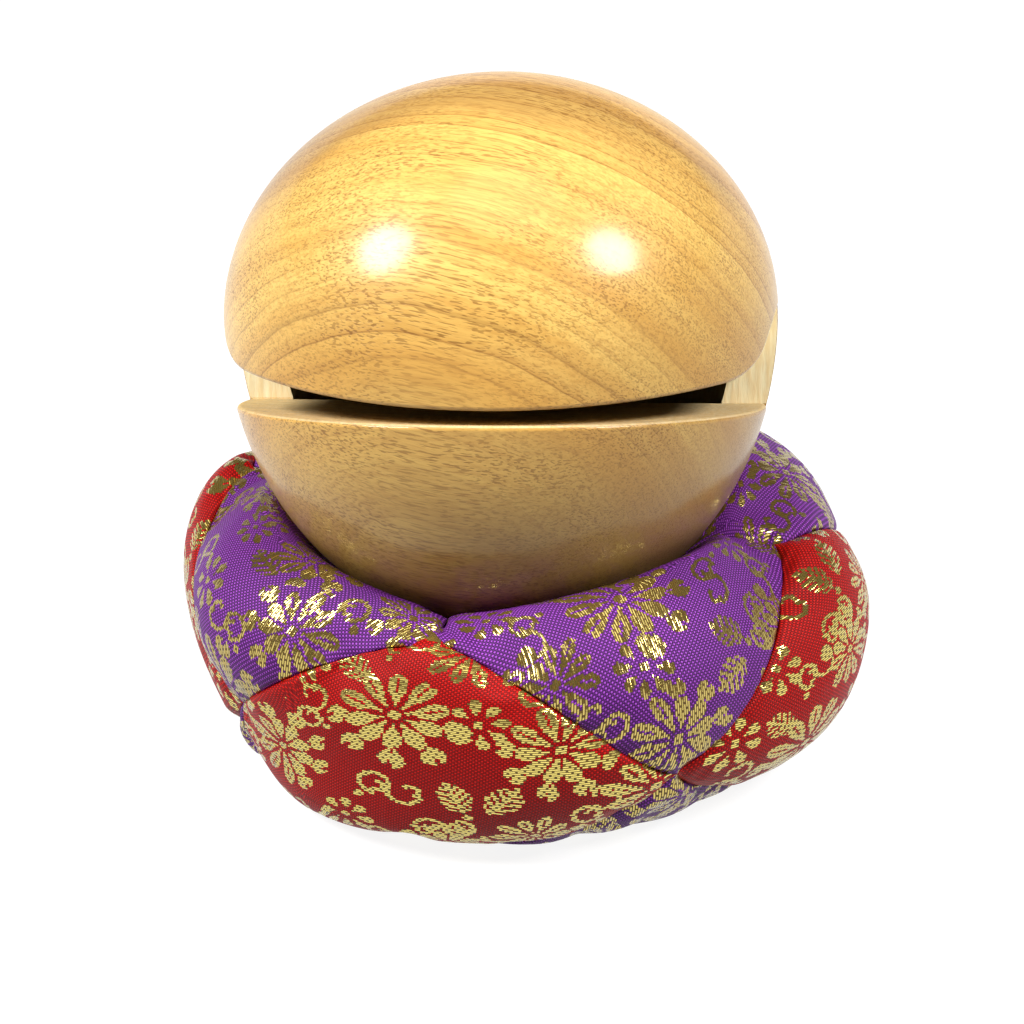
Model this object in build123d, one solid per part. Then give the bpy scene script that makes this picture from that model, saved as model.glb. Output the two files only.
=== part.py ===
"""A mokugyo, the hollow wooden fish struck in temple chanting, resting on its patchwork cushion.

Millimetres, +Z up. The origin is the middle of the cushion's underside, and the mouth faces -Y.
"""

from build123d import *
import math
import os

import numpy as np

# Wooden fish, in its own frame: Z square to the mouth slit, zero at the widest circle
BODY_RADIUS = 60.5  # half of 4 sun, the trade size across the body
CROWN_HEIGHT = 53.0  # widest circle to the top of the dome
KEEL_DEPTH = 69.0  # widest circle to the bottom of the bowl
WALL = 9.5  # shell left by hollowing out
LEAN = 2.0  # degrees that the shell leans towards -X over its level mouth
SLIT_FLOOR = -19.0  # flat top of the lower lip
SLIT_GAP = 3.1  # mouth opening at the middle
LIP_ARCH_RADIUS = 265.0  # the upper lip's gentle arch
LIP_ARCH_HALF = 50.0  # half width of that arch
LIP_FALL = 1.0  # degrees that the arch falls towards +X
FLARE_RADIUS = 10.0  # the upper lip's rounded corner
FLARE_TURN = 75.0  # degrees that the corner climbs to
SLIT_END = 6.0  # the sawn end wall, behind the widest line
LIP_BACK = SLIT_END - 1.5  # the lower jaw is solid this far back, short of the end wall
UPPER_LIP_ROUNDING = 1.0
LOWER_LIP_ROUNDING = 0.8

# Carrying handle, a bow carved from the same block behind the body
HANDLE_HALF_WIDTH = 33.0
HANDLE_REACH = 74.0  # body axis to the back of the bow
HANDLE_THICKNESS = 7.5
HANDLE_HEIGHT = 20.0
HANDLE_BASE = 1.0  # underside of the bow above the widest circle
HANDLE_ROOT = 44.0  # where the bow's ellipse is centred, inside the shell
HANDLE_ROUNDING = 0.35 * HANDLE_THICKNESS
FINGER_SLOT_DEPTH = 11.5  # room between the bow and the recess in the body
FINGER_SLOT_HALF_WIDTH = 19.0
FINGER_SLOT_RUNOUT = 9.0  # how far the recess runs past the bow

# How the fish sits: tipped back and turned a little, and a little off the cushion's middle
TILT = 19.5
FISH_TURN = 7.0  # degrees that the mouth faces past the front, towards -X
FISH_X = -2.4
FISH_Y = 1.0
SEAT_HEIGHT = 32.0  # lowest point of the fish above the table
SEAT_CLEARANCE = 0.4  # fish to cloth
SEAT_BLEND = 0.05  # how softly the cloth leaves the fish, as a share of the body's radius

# Cushion, four-fold: seam corners as radius and height
CUSHION_TURN = -16.0  # degrees from the front to the first top corner
TOP_CORNER_RADIUS = 58.0
TOP_CORNER_HEIGHT = 51.0
SIDE_CORNER_RADIUS = 71.0
SIDE_CORNER_HEIGHT = 22.0
BASE_CORNER_RADIUS = 55.0
BASE_CORNER_HEIGHT = 1.5
TUFT_DROP = 4.0  # the tie pulls the top middle this far below the fish
TUFT_RISE = 4.5  # and lifts the middle of the underside
UPPER_SEAM_BULGE = 6.5  # stuffing pushes the seams out between their corners
UPPER_SEAM_LIFT = 8.5
LOWER_SEAM_BULGE = 4.4
LOWER_SEAM_DROP = 5.0
TOP_PUFF = 22.5  # crown of each patch above its seams
SIDE_PUFF = 3.0
BASE_PUFF = 9.0
BASE_FLAT = 0.5  # depth of the flat that the cushion stands on
BASE_BLEND = 1.0  # how softly the cloth leaves the table
CLOTH = 1.0  # brocade and its lining

# Tie thread through the middle of the cushion
THREAD_RADIUS = 0.6
KNOT_RADIUS = 1.6
THREAD_CLEARANCE = 0.1

QUARTER = 90.0
PATCH_DEGREE = 10  # of the Bezier patches that the cloth is drawn with
EGG_SEAM = 30.0  # where the round surfaces close on themselves, clear of every cut
EGG_JOIN = 30  # degrees above the widest circle where the cap meets the rest, clear of every cut
BIG = 400.0  # longer than anything here, for cutting tools


# Wooden fish

def egg(radius, crown, keel):
    """A body of revolution, half an ellipse above the widest circle and half below, whose axis leans."""
    def at(degrees):
        turn = math.radians(degrees)
        return radius * math.cos(turn), (crown if degrees > 0 else keel) * math.sin(turn)

    join = math.radians(EGG_JOIN)
    slope = (radius * math.sin(join), -crown * math.cos(join))
    cap_points = [(0, crown)] + [at(degrees) for degrees in range(80, EGG_JOIN - 1, -10)]
    bowl_points = [at(degrees) for degrees in range(EGG_JOIN, -90, -10)] + [(0, -keel)]
    cap = Spline(cap_points, tangents=[(1, 0), slope], tangent_scalars=[1, 1])
    bowl = Spline(bowl_points, tangents=[slope, (-1, 0)], tangent_scalars=[1, 1])
    profile = Plane.XZ * make_face([cap, bowl, Line((0, -keel), (0, crown))])
    return Rot(0, -LEAN, 0) * Rot(0, 0, EGG_SEAM) * revolve(profile, Axis.Z)


def lip_outline():
    """Front view of the mouth: a flat floor, and a top that arches and flares up at its ends."""
    arch_rise = LIP_ARCH_RADIUS - math.sqrt(LIP_ARCH_RADIUS**2 - LIP_ARCH_HALF**2)
    start = math.asin(LIP_ARCH_HALF / LIP_ARCH_RADIUS)
    end = math.radians(FLARE_TURN)
    middle = (start + end) / 2
    fall = math.radians(LIP_FALL)
    floor, lip = SLIT_FLOOR, SLIT_FLOOR + SLIT_GAP

    def fallen(across, rise):
        return (across * math.cos(fall) + rise * math.sin(fall),
                lip + rise * math.cos(fall) - across * math.sin(fall))

    def flare(side, turn, past=0.0):
        across = LIP_ARCH_HALF + FLARE_RADIUS * (math.sin(turn) - math.sin(start))
        rise = arch_rise + FLARE_RADIUS * (math.cos(start) - math.cos(turn))
        return fallen(side * (across + past * math.cos(turn)), rise + past * math.sin(turn))

    outer = {side: flare(side, end, BODY_RADIUS) for side in (-1, 1)}
    arch = ThreePointArc(flare(-1, start), fallen(0, 0), flare(1, start))
    corners = [ThreePointArc(flare(s, start), flare(s, middle), flare(s, end)) for s in (-1, 1)]
    rest = Polyline(flare(1, end), outer[1], (BIG, outer[1][1]), (BIG, floor), (-BIG, floor),
                    (-BIG, outer[-1][1]), outer[-1], flare(-1, end))
    return make_face([arch, *corners, rest])


def mouth_slit():
    """The saw cut from the front to the end wall, through both sides of the shell."""
    return Plane.XZ.offset(-SLIT_END) * extrude(lip_outline(), BIG)


def lower_lip():
    """The thick lower lip, which the hollow leaves standing in front, up into the saw cut."""
    top = SLIT_FLOOR + SLIT_GAP / 2
    return Pos(0, LIP_BACK - BIG / 2, top - BIG / 2) * Box(BIG, BIG, BIG)


def handle_bow():
    """A horizontal ring whose back half stands out of the body; hollowing out removes the front."""
    outer = Ellipse(HANDLE_HALF_WIDTH, HANDLE_REACH - HANDLE_ROOT)
    inner = Ellipse(HANDLE_HALF_WIDTH - HANDLE_THICKNESS, HANDLE_REACH - HANDLE_ROOT - HANDLE_THICKNESS)
    ring = extrude(outer - inner, HANDLE_HEIGHT)
    rims = ring.faces().sort_by(Axis.Z)
    ring = fillet(rims[0].edges() + rims[-1].edges(), HANDLE_ROUNDING)
    return Pos(0, HANDLE_ROOT, HANDLE_BASE) * ring


def finger_slot():
    """Room for a finger between the bow and the body, cut a little into the body's back."""
    inner_face = HANDLE_REACH - HANDLE_THICKNESS
    oval = Ellipse(FINGER_SLOT_HALF_WIDTH, FINGER_SLOT_DEPTH / 2)
    tall = HANDLE_HEIGHT + 2 * FINGER_SLOT_RUNOUT
    return Pos(0, inner_face - FINGER_SLOT_DEPTH / 2, HANDLE_BASE - FINGER_SLOT_RUNOUT) * extrude(oval, tall)


def round_lip(body, height, rounding):
    """Rounds the outside edge of one lip, found by its height at the front, or bevels it if that fails."""
    front = Vector(0, -BODY_RADIUS, height)
    edge = min(body.edges(), key=lambda e: e.distance_to(front))
    try:
        return fillet(edge, rounding)
    except ValueError:
        return chamfer(edge, 0.7 * rounding)


def fish_frame():
    """Places the fish's own frame so that its lowest point is at the seat height."""
    stance = Rot(-TILT, 0, 0) * Rot(0, 0, -FISH_TURN)
    upright = Plane(stance * Rot(0, -LEAN, 0)).z_dir.Z
    below = math.hypot(BODY_RADIUS * math.sqrt(1 - upright**2), KEEL_DEPTH * upright)
    return Pos(FISH_X, FISH_Y, SEAT_HEIGHT + below) * stance


def fish_body():
    hollow = egg(BODY_RADIUS - WALL, CROWN_HEIGHT - WALL, KEEL_DEPTH - WALL) - lower_lip()
    body = egg(BODY_RADIUS, CROWN_HEIGHT, KEEL_DEPTH) - hollow - mouth_slit()
    body = round_lip(body, SLIT_FLOOR + SLIT_GAP, UPPER_LIP_ROUNDING)
    body = round_lip(body, SLIT_FLOOR, LOWER_LIP_ROUNDING)
    body += handle_bow() - hollow
    body -= finger_slot()
    return fish_frame() * body


# Cushion: twelve square patches, four above, four round the side and four below

def ring_point(radius, height, turn):
    """A point at a radius and height, turned from the front (-Y) towards +X by degrees."""
    angle = math.radians(CUSHION_TURN + turn)
    return np.array([radius * math.sin(angle), -radius * math.cos(angle), height])


def press(point):
    """Moves a point of the cushion's top out of the fish, away from the fish's middle.

    The cloth leaves the fish in a soft curve, so a point just outside moves a little too.
    """
    middle = np.array(tuple(fish_frame().position))
    up = np.array(tuple(Plane(fish_frame() * Rot(0, -LEAN, 0)).z_dir))
    arm = point - middle
    along = arm @ up
    across = np.linalg.norm(arm - along * up)
    share = math.hypot(across / (BODY_RADIUS + SEAT_CLEARANCE), along / (KEEL_DEPTH + SEAT_CLEARANCE))
    pressed = share + SEAT_BLEND * math.log1p(math.exp((1 - share) / SEAT_BLEND))
    return middle + arm * pressed / share


def rest(point):
    """Lifts a point of the cushion's underside to the table, softly, and a little past it for the flat."""
    over = (point[2] + BASE_FLAT) / BASE_BLEND
    return np.array([point[0], point[1], BASE_BLEND * math.log1p(math.exp(over)) - BASE_FLAT])


def top_middle():
    floor = press(np.array([0, 0, SEAT_HEIGHT + KEEL_DEPTH / 2]))
    return np.array([0, 0, floor[2] - TUFT_DROP])


def base_middle():
    return np.array([0, 0, TUFT_RISE])


def top_corner(turn):
    return ring_point(TOP_CORNER_RADIUS, TOP_CORNER_HEIGHT, turn)


def side_corner(turn):
    return ring_point(SIDE_CORNER_RADIUS, SIDE_CORNER_HEIGHT, turn)


def base_corner(turn):
    return ring_point(BASE_CORNER_RADIUS, BASE_CORNER_HEIGHT, turn)


def centre_seam(middle, corner, t):
    """A seam from the middle out to a corner, dished under the fish."""
    level = middle + (corner - middle) * t
    level[2] = middle[2] + (corner[2] - middle[2]) * t**2
    return level


def wrapped_seam(first, second, bulge, lift, t):
    """A seam that climbs round the side between two corners, pushed out by the stuffing."""
    radii = [math.hypot(*corner[:2]) for corner in (first, second)]
    turns = [math.atan2(corner[0], -corner[1]) for corner in (first, second)]
    sweep = (turns[1] - turns[0] + math.pi) % (2 * math.pi) - math.pi
    radius = radii[0] + (radii[1] - radii[0]) * t + bulge * 4 * t * (1 - t)
    turn = turns[0] + sweep * t
    height = first[2] + (second[2] - first[2]) * t + lift * 6.75 * t * (1 - t) ** 2
    return np.array([radius * math.sin(turn), -radius * math.cos(turn), height])


def upper_seam(top, side, t):
    return wrapped_seam(top, side, UPPER_SEAM_BULGE, UPPER_SEAM_LIFT, t)


def lower_seam(side, base, t):
    return wrapped_seam(side, base, LOWER_SEAM_BULGE, -LOWER_SEAM_DROP, t)


def inward(point):
    """The direction into the stuffing: to the nearest point of a disc in the cushion's middle."""
    core_radius = 0.9 * BASE_CORNER_RADIUS
    core_height = (top_middle()[2] + base_middle()[2]) / 2
    radius = math.hypot(point[0], point[1])
    share = min(1.0, core_radius / radius) if radius else 1.0
    arm = np.array([point[0] * share, point[1] * share, core_height]) - point
    return arm / np.linalg.norm(arm)


def coons(edge_u0, edge_u1, edge_v0, edge_v1, u, v):
    """The surface that four boundary curves span."""
    ruled_u = (1 - u) * edge_u0(v) + u * edge_u1(v)
    ruled_v = (1 - v) * edge_v0(u) + v * edge_v1(u)
    corners = ((1 - u) * (1 - v) * edge_v0(0) + u * (1 - v) * edge_v0(1)
               + (1 - u) * v * edge_v1(0) + u * v * edge_v1(1))
    return ruled_u + ruled_v - corners


def swell(u, v):
    """Nothing on the seams and one in the middle of a patch."""
    return 16 * u * (1 - u) * v * (1 - v)


def top_patch_point(turn, u, v):
    middle, side = top_middle(), side_corner(turn + QUARTER / 2)
    left, right = top_corner(turn), top_corner(turn + QUARTER)
    point = coons(
        lambda t: centre_seam(middle, right, t), lambda t: upper_seam(left, side, t),
        lambda t: centre_seam(middle, left, t), lambda t: upper_seam(right, side, t), u, v)
    return point - inward(point) * TOP_PUFF * swell(u, v)


def side_patch_point(turn, u, v):
    top, base = top_corner(turn), base_corner(turn)
    left, right = side_corner(turn - QUARTER / 2), side_corner(turn + QUARTER / 2)
    point = coons(
        lambda t: upper_seam(top, left, t), lambda t: lower_seam(right, base, t),
        lambda t: upper_seam(top, right, t), lambda t: lower_seam(left, base, t), u, v)
    point = point - inward(point) * SIDE_PUFF * swell(u, v)
    return rest(point)


def base_patch_point(turn, u, v):
    middle, side = base_middle(), side_corner(turn + QUARTER / 2)
    left, right = base_corner(turn), base_corner(turn + QUARTER)
    point = coons(
        lambda t: centre_seam(middle, right, t), lambda t: lower_seam(side, left, 1 - t),
        lambda t: centre_seam(middle, left, t), lambda t: lower_seam(side, right, 1 - t), u, v)
    point = point - inward(point) * BASE_PUFF * swell(u, v) * (1 - u * v)
    return rest(point)


def bernstein(t):
    n = PATCH_DEGREE
    return [math.comb(n, i) * t**i * (1 - t) ** (n - i) for i in range(n + 1)]


NODES = [(1 - math.cos(math.pi * i / PATCH_DEGREE)) / 2 for i in range(PATCH_DEGREE + 1)]
TO_CONTROL = np.linalg.inv(np.array([bernstein(t) for t in NODES]))


def control_net(surface):
    """The Bezier control points whose patch passes through the surface at the nodes."""
    through = np.array([[surface(u, v) for v in NODES] for u in NODES])
    return np.einsum("ia,abk,jb->ijk", TO_CONTROL, through, TO_CONTROL)


def bezier_face(net):
    return Face.make_bezier_surface([[Vector(*point) for point in row] for row in net])


def inner_surface(surface):
    def lined(u, v):
        point = surface(u, v)
        return point + inward(point) * CLOTH
    return lined


def cloth_patch(outer, inner):
    """One piece of cloth: its face, its lining, and the four turned-in seam edges between them."""
    edges = [np.stack([a, b]) for a, b in (
        (outer[0], inner[0]), (outer[-1], inner[-1]), (outer[:, 0], inner[:, 0]), (outer[:, -1], inner[:, -1]))]
    return Solid(Shell([bezier_face(net) for net in (outer, inner, *edges)]))


def thread(radius):
    """The tie's thread, or its hole, up the cushion's axis."""
    base, top = base_middle()[2], press(top_middle())[2]
    return Pos(0, 0, base) * extrude(Circle(radius), top - base)


def knots(radius):
    """The knots that hold the tie, above and below, or their seats in the cloth."""
    base, top = base_middle()[2], press(top_middle())[2]
    return Pos(0, 0, top) * Sphere(radius) + Pos(0, 0, base) * Sphere(radius)


def centre_tie():
    return thread(THREAD_RADIUS) + knots(KNOT_RADIUS)


def tie_hole():
    return thread(THREAD_RADIUS + THREAD_CLEARANCE) + knots(KNOT_RADIUS + THREAD_CLEARANCE)


def table():
    """Everything below the surface that the cushion stands on."""
    return Pos(0, 0, -BIG / 2) * Box(BIG, BIG, BIG)


def cushion():
    """The cloth patches by name, and the stuffing that they enclose."""
    kinds = {"top_patch": top_patch_point, "side_patch": side_patch_point, "base_patch": base_patch_point}
    pieces, linings = {}, []
    for kind, surface in kinds.items():
        for number in range(4):
            outside = lambda u, v: press(surface(number * QUARTER, u, v))
            outer, inner = control_net(outside), control_net(inner_surface(outside))
            pieces[f"{kind}_{number + 1}"] = cloth_patch(outer, inner)
            linings.append(bezier_face(inner))
    hole, below = tie_hole(), table()
    for name in pieces:
        if name.startswith("top"):
            pieces[name] -= hole
        if name.startswith("base"):
            pieces[name] = pieces[name] - hole - below
    pieces["cushion_stuffing"] = Solid(Shell(linings)) - hole
    return pieces


def build():
    pieces = {"fish_body": fish_body(), "centre_tie": centre_tie(), **cushion()}
    os.makedirs("parts", exist_ok=True)
    for name, piece in pieces.items():
        print(name, "solids", len(piece.solids()), "volume", round(piece.volume, 1), "valid", piece.is_valid)
        export_step(piece, f"parts/{name}.step")


if __name__ == "__main__":
    build()
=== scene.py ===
import math

import bpy
import numpy as np
from mathutils import Matrix, Vector


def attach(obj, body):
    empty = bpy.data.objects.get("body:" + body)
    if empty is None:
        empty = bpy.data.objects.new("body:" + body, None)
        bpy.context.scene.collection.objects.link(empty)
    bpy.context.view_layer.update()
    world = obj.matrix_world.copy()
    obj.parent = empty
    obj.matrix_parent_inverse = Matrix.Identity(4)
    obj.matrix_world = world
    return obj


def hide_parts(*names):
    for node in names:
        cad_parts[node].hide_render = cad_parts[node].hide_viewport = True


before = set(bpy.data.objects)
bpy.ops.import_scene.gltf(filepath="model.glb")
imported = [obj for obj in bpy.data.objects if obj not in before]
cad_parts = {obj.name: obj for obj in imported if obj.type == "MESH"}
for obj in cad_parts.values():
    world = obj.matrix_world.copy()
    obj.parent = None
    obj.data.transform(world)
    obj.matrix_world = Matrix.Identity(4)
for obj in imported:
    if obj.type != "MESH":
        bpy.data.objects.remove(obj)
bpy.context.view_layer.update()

# Sizes in millimetres, as in the solids: the fish and how it sits
BODY_RADIUS = 60.5
CROWN_HEIGHT = 53.0
KEEL_DEPTH = 69.0
SLIT_FLOOR = -19.0
SLIT_END = 6.0
TILT = math.radians(19.5)
LEAN = math.radians(2.0)
FISH_TURN = math.radians(7.0)
SEAT_HEIGHT = 32.0
SEAT_CLEARANCE = 0.4
SEAT_BLEND = 0.05
STANCE = Matrix.Rotation(-TILT, 3, "X") @ Matrix.Rotation(-FISH_TURN, 3, "Z")
SHELL_UP = np.array((STANCE @ Matrix.Rotation(-LEAN, 3, "Y")).col[2])
FISH_BELOW = math.hypot(BODY_RADIUS * math.sqrt(1 - SHELL_UP[2]**2), KEEL_DEPTH * SHELL_UP[2])
FISH_MIDDLE = np.array([-2.4, 1.0, SEAT_HEIGHT + FISH_BELOW])

# The cushion: seam corners as radius and height, and how far the stuffing pushes the cloth
CUSHION_TURN = -16.0
TOP_CORNER = (58.0, 51.0)
SIDE_CORNER = (71.0, 22.0)
BASE_CORNER = (55.0, 1.5)
TUFT_DROP = 4.0
TUFT_RISE = 4.5
UPPER_BULGE = 6.5
UPPER_LIFT = 8.5
LOWER_BULGE = 4.4
LOWER_DROP = 7.5  # deeper than in the solids, because the loose cloth sags
TUCKED_SEAM = (-7.0, 15.0, 1.7, 1.2)  # bulge, drop, lag and stray of the front left seam
PUFF = {"top": 22.5, "side": 3.0, "base": 9.0}  # crown of each patch above its seams
BASE_FLAT = 0.5
BASE_BLEND = 1.0
CLOTH = 0.9  # thickness of the cloth that shows
WADDING_INSET = 2.4

# The filling that stands up in a ring round the fish
COLLAR_RADIUS = 46.0
COLLAR_WIDTH = 9.0
COLLAR_LIFT = 9.0
COLLAR_START = 30.0  # height from which the ring rises
COLLAR_RUN = 12.0  # height over which it comes to its full rise

# A patch's flat cloth and its seams
PATCH_EDGE = 66.0
PATCH_HALF_DIAGONAL = 46.7
GRID = 33  # points along a patch's edge
FLAT_ROUNDS = 600
FLAT_STEP = 1.4
UV_PER_MM = 0.01
SEAM_DEPTH = 0.45
SEAM_WIDTH = 1.2

# How the sewn cover fills: first evened out, more so near the seams, and then simulated as cloth
SMOOTH_ROUNDS = 50
SEAM_EASE = 0.5
SEAM_EASE_WIDTH = 12.0
OPEN_EASE = 0.10
FILL_OUT = 1.6
PRESSURE = 3.0
SEAM_PIN = 0.06
CLOTH_FRAMES = 25
CLOTH_LIMIT = 6.0  # furthest that the simulation may move a point
TABLE_GAP = 0.05

# Where the filling lies unevenly: degrees round from the front, height, spread of both, push out and lift
UNEVEN = [
    (95, 30, 40, 24, 3.0, 0.0),
    (-62, 14, 24, 12, -2.6, 0.0),
    (-72, 25, 18, 8, -4.0, 0.0),
    (-80, 10, 13, 9, -7.0, 0.0),
    (28, 5, 24, 10, -9.5, 0.0),
    (-44, 7, 22, 11, 9.0, 0.0),
    (-105, 48, 40, 20, 3.0, 0.0),
    (135, 55, 45, 15, 0.0, 1.5),
    (-88, 26, 30, 15, -3.4, 0.0),
    (98, 42, 22, 10, 5.0, 0.0),
    (-120, 55, 40, 12, 0.0, 4.5),
]
UNEVEN_START = 30.0  # radius from which this shows
UNEVEN_RUN = 20.0  # and over which it grows to the full amount


# Shape of the cushion

def press(points):
    """Moves points out of the fish, which dents the cushion softly."""
    arm = points - FISH_MIDDLE
    tall = arm @ SHELL_UP
    across = np.linalg.norm(arm - tall[..., None] * SHELL_UP, axis=-1)
    share = np.hypot(across / (BODY_RADIUS + SEAT_CLEARANCE), tall / (KEEL_DEPTH + SEAT_CLEARANCE))
    pressed = share + SEAT_BLEND * np.logaddexp(0, (1 - share) / SEAT_BLEND)
    return FISH_MIDDLE + arm * (pressed / share)[..., None]


def rest(points):
    """Lifts points to the table, softly."""
    height = BASE_BLEND * np.logaddexp(0, (points[..., 2] + BASE_FLAT) / BASE_BLEND) - BASE_FLAT
    return np.concatenate([points[..., :2], height[..., None]], -1)


def ring_point(corner, turn):
    angle = math.radians(CUSHION_TURN + turn)
    return np.array([corner[0] * math.sin(angle), -corner[0] * math.cos(angle), corner[1]])


TOP_MIDDLE = np.array([0, 0, press(np.array([0, 0, SEAT_HEIGHT + KEEL_DEPTH / 2]))[2] - TUFT_DROP])
BASE_MIDDLE = np.array([0, 0, TUFT_RISE])


def centre_seam(middle, corner, t):
    t = np.asarray(t, float)[..., None]
    level = middle + (corner - middle) * t
    height = middle[2] + (corner[2] - middle[2]) * t**2
    return np.concatenate([level[..., :2], height], -1)


def wrapped_seam(first, second, bulge, lift, t, lag=1.0, stray=0.0):
    """A seam that the filling pushes out and up. Lag and stray turn its middle back round the cushion."""
    t = np.asarray(t, float)
    radii = [math.hypot(corner[0], corner[1]) for corner in (first, second)]
    turns = [math.atan2(corner[0], -corner[1]) for corner in (first, second)]
    sweep = (turns[1] - turns[0] + math.pi) % (2 * math.pi) - math.pi
    radius = radii[0] + (radii[1] - radii[0]) * t + bulge * 4 * t * (1 - t)
    turn = turns[0] + sweep * (t**lag - stray * t * (1 - t))
    height = first[2] + (second[2] - first[2]) * t + lift * 6.75 * t * (1 - t) ** 2
    return np.stack([radius * np.sin(turn), -radius * np.cos(turn), height], -1)


def upper_seam(top, side):
    return lambda t: wrapped_seam(top, side, UPPER_BULGE, UPPER_LIFT, t)


def lower_seam(side, base):
    """The seam from a side corner down to a base corner. One is tucked further under, at the front left."""
    tucked = side[0] < 0 and side[1] < 0 and base[1] < 0 and abs(base[0]) < abs(base[1])
    bulge, drop, lag, stray = TUCKED_SEAM if tucked else (LOWER_BULGE, LOWER_DROP, 1.0, 0.0)
    return lambda t: wrapped_seam(side, base, bulge, -drop, t, lag, stray)


def backwards(seam):
    return lambda t: seam(1 - np.asarray(t, float))


def outward_centre(middle, corner):
    return lambda t: centre_seam(middle, corner, t)


def inward(points):
    """The direction into the stuffing."""
    core_radius = 0.9 * BASE_CORNER[0]
    core_height = (TOP_MIDDLE[2] + BASE_MIDDLE[2]) / 2
    radius = np.hypot(points[..., 0], points[..., 1])
    share = np.minimum(1, core_radius / np.maximum(radius, 1e-6))
    core = np.stack([points[..., 0] * share, points[..., 1] * share, np.full_like(radius, core_height)], -1)
    arm = core - points
    return arm / np.linalg.norm(arm, axis=-1, keepdims=True)


def coons(edge_u0, edge_u1, edge_v0, edge_v1, u, v):
    """The surface that four seams span."""
    a = u[..., None]
    b = v[..., None]
    corners = (1 - a) * (1 - b) * edge_v0(0) + a * (1 - b) * edge_v0(1)
    corners = corners + (1 - a) * b * edge_v1(0) + a * b * edge_v1(1)
    return (1 - a) * edge_u0(v) + a * edge_u1(v) + (1 - b) * edge_v0(u) + b * edge_v1(u) - corners


def patch_seams(kind, turn):
    """The four seams of a patch: along v at u = 0 and 1, then along u at v = 0 and 1."""
    if kind == "side":
        top = ring_point(TOP_CORNER, turn)
        base = ring_point(BASE_CORNER, turn)
        left = ring_point(SIDE_CORNER, turn - 45)
        right = ring_point(SIDE_CORNER, turn + 45)
        return (upper_seam(top, left), lower_seam(right, base),
                upper_seam(top, right), lower_seam(left, base))
    side = ring_point(SIDE_CORNER, turn + 45)
    if kind == "top":
        left = ring_point(TOP_CORNER, turn)
        right = ring_point(TOP_CORNER, turn + 90)
        return (outward_centre(TOP_MIDDLE, right), upper_seam(left, side),
                outward_centre(TOP_MIDDLE, left), upper_seam(right, side))
    left = ring_point(BASE_CORNER, turn)
    right = ring_point(BASE_CORNER, turn + 90)
    return (outward_centre(BASE_MIDDLE, right), backwards(lower_seam(side, left)),
            outward_centre(BASE_MIDDLE, left), backwards(lower_seam(side, right)))


def uneven(points):
    """Pushes the cushion's side out or in where the filling is uneven."""
    radius = np.hypot(points[..., 0], points[..., 1])
    turn = np.degrees(np.arctan2(points[..., 0], -points[..., 1]))
    push = np.zeros_like(radius)
    rise = np.zeros_like(radius)
    for centre, height, wide, tall, amount, lift in UNEVEN:
        away = (turn - centre + 180) % 360 - 180
        near = np.exp(-((away / wide) ** 2) - ((points[..., 2] - height) / tall) ** 2)
        push += amount * near
        rise += lift * near
    outer = np.clip((radius - UNEVEN_START) / UNEVEN_RUN, 0, 1)
    scale = 1 + push * outer / np.maximum(radius, 1)
    return np.stack([points[..., 0] * scale, points[..., 1] * scale, points[..., 2] + rise * outer], -1)


def collar(points):
    """Raises the filling that the fish has pushed aside, which stands up round it."""
    radius = np.hypot(points[..., 0], points[..., 1])
    near = np.exp(-(((radius - COLLAR_RADIUS) / COLLAR_WIDTH) ** 2))
    rise = COLLAR_LIFT * near * np.clip((points[..., 2] - COLLAR_START) / COLLAR_RUN, 0, 1)
    return np.stack([points[..., 0], points[..., 1], points[..., 2] + rise], -1)


def patch_points(kind, number, u, v):
    """Points of one patch's outside, in millimetres."""
    points = coons(*patch_seams(kind, 90 * number), u, v)
    swell = 16 * u * (1 - u) * v * (1 - v)
    if kind == "base":
        swell = swell * (1 - u * v)
    points = points - inward(points) * PUFF[kind] * swell[..., None]
    if kind != "top":
        points = rest(points)
    return uneven(press(points))


def crowded(n):
    """Steps from 0 to 1 that are closer together near both ends, for the seams."""
    s = np.linspace(0, 1, n)
    return s - 0.55 * np.sin(2 * math.pi * s) / (2 * math.pi)


def patch_steps(n):
    """Where a patch's points lie along its two edges."""
    s = crowded(n)
    return np.meshgrid(s, s, indexing="ij")


def from_seams(u, v):
    """How far points of a patch are from its nearest seam, in millimetres of flat cloth."""
    return np.minimum(np.minimum(u, 1 - u), np.minimum(v, 1 - v)) * PATCH_EDGE


def sink_seams(points, u, v):
    """Draws the cloth in along the seams, where the stitches hold it."""
    depth = SEAM_DEPTH * np.exp(-((from_seams(u, v) / SEAM_WIDTH) ** 1.5))
    return points + inward(points) * depth[..., None]


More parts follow.
